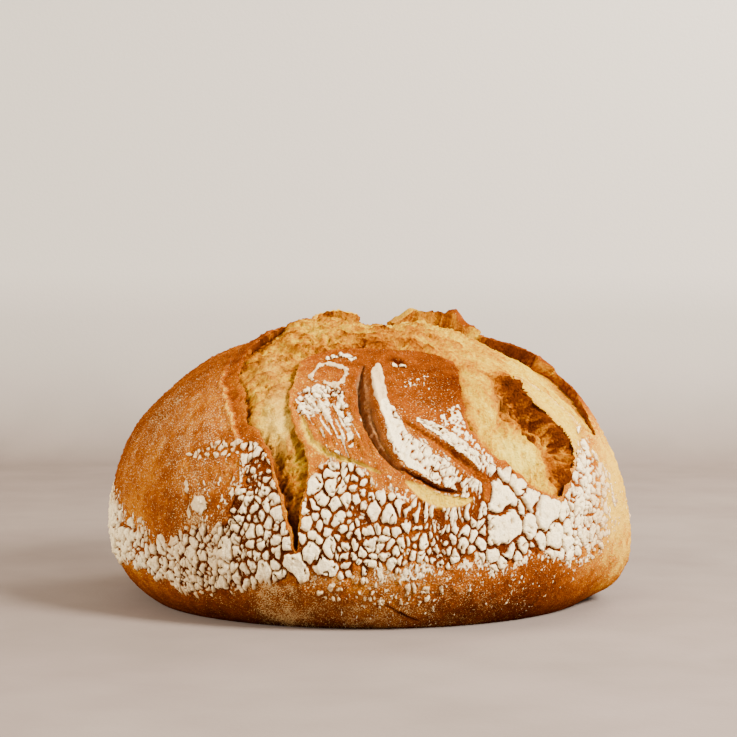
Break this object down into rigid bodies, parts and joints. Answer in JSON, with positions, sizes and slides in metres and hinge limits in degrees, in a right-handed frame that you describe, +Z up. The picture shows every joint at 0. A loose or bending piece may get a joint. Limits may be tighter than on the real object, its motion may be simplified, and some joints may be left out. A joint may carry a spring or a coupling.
{
  "type": "sourdough loaf",
  "caption": "Round sourdough boule, baked whole: a browned, floured crust torn open along its scores over pale crumb, on a flat base it rests on.",
  "frame": {"origin": "middle of the flat base that the loaf rests on", "axes": "+Z up through the crown, +X to the right and -Y towards the front, where the long tears and the scored plate face"},
  "size_m": [0.2071, 0.2029, 0.1129],
  "materials": {
    "crust": "baked crust, dry and slightly glossy where bare, matt where floured or torn"
  },
  "bodies": {
    "root": {"loaf": "crust"}
  },
  "joints": []
}
